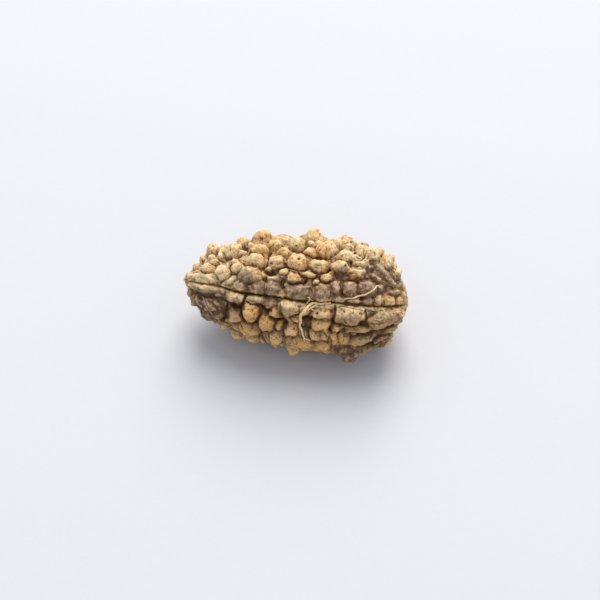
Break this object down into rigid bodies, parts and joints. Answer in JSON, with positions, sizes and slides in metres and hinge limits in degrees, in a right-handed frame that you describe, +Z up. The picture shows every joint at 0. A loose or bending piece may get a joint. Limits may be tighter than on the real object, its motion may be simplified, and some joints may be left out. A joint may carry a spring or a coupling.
{
  "type": "rudraksha seed",
  "caption": "Knobbly brown woody stone of a rudraksha fruit, pointed at one end and grooved along each face, with a few dried fibres still clinging to it.",
  "frame": {"origin": "middle of the small flat spot that the stone lies on", "axes": "+X along the stone from its pointed end to its blunt end, +Z up, the near face looking towards -Y and up"},
  "size_m": [0.0299, 0.0167, 0.0159],
  "materials": {
    "woody_stone": "dry matt wood, golden tan knobs with purple-grey stain and dark brown crevices",
    "dried_fibre": "dry pale plant fibre, matt with a faint sheen"
  },
  "bodies": {
    "root": {"rudraksha_seed": "woody_stone", "fibre_curved": "dried_fibre", "fibre_straight": "dried_fibre", "fibre_hook": "dried_fibre"}
  },
  "joints": []
}
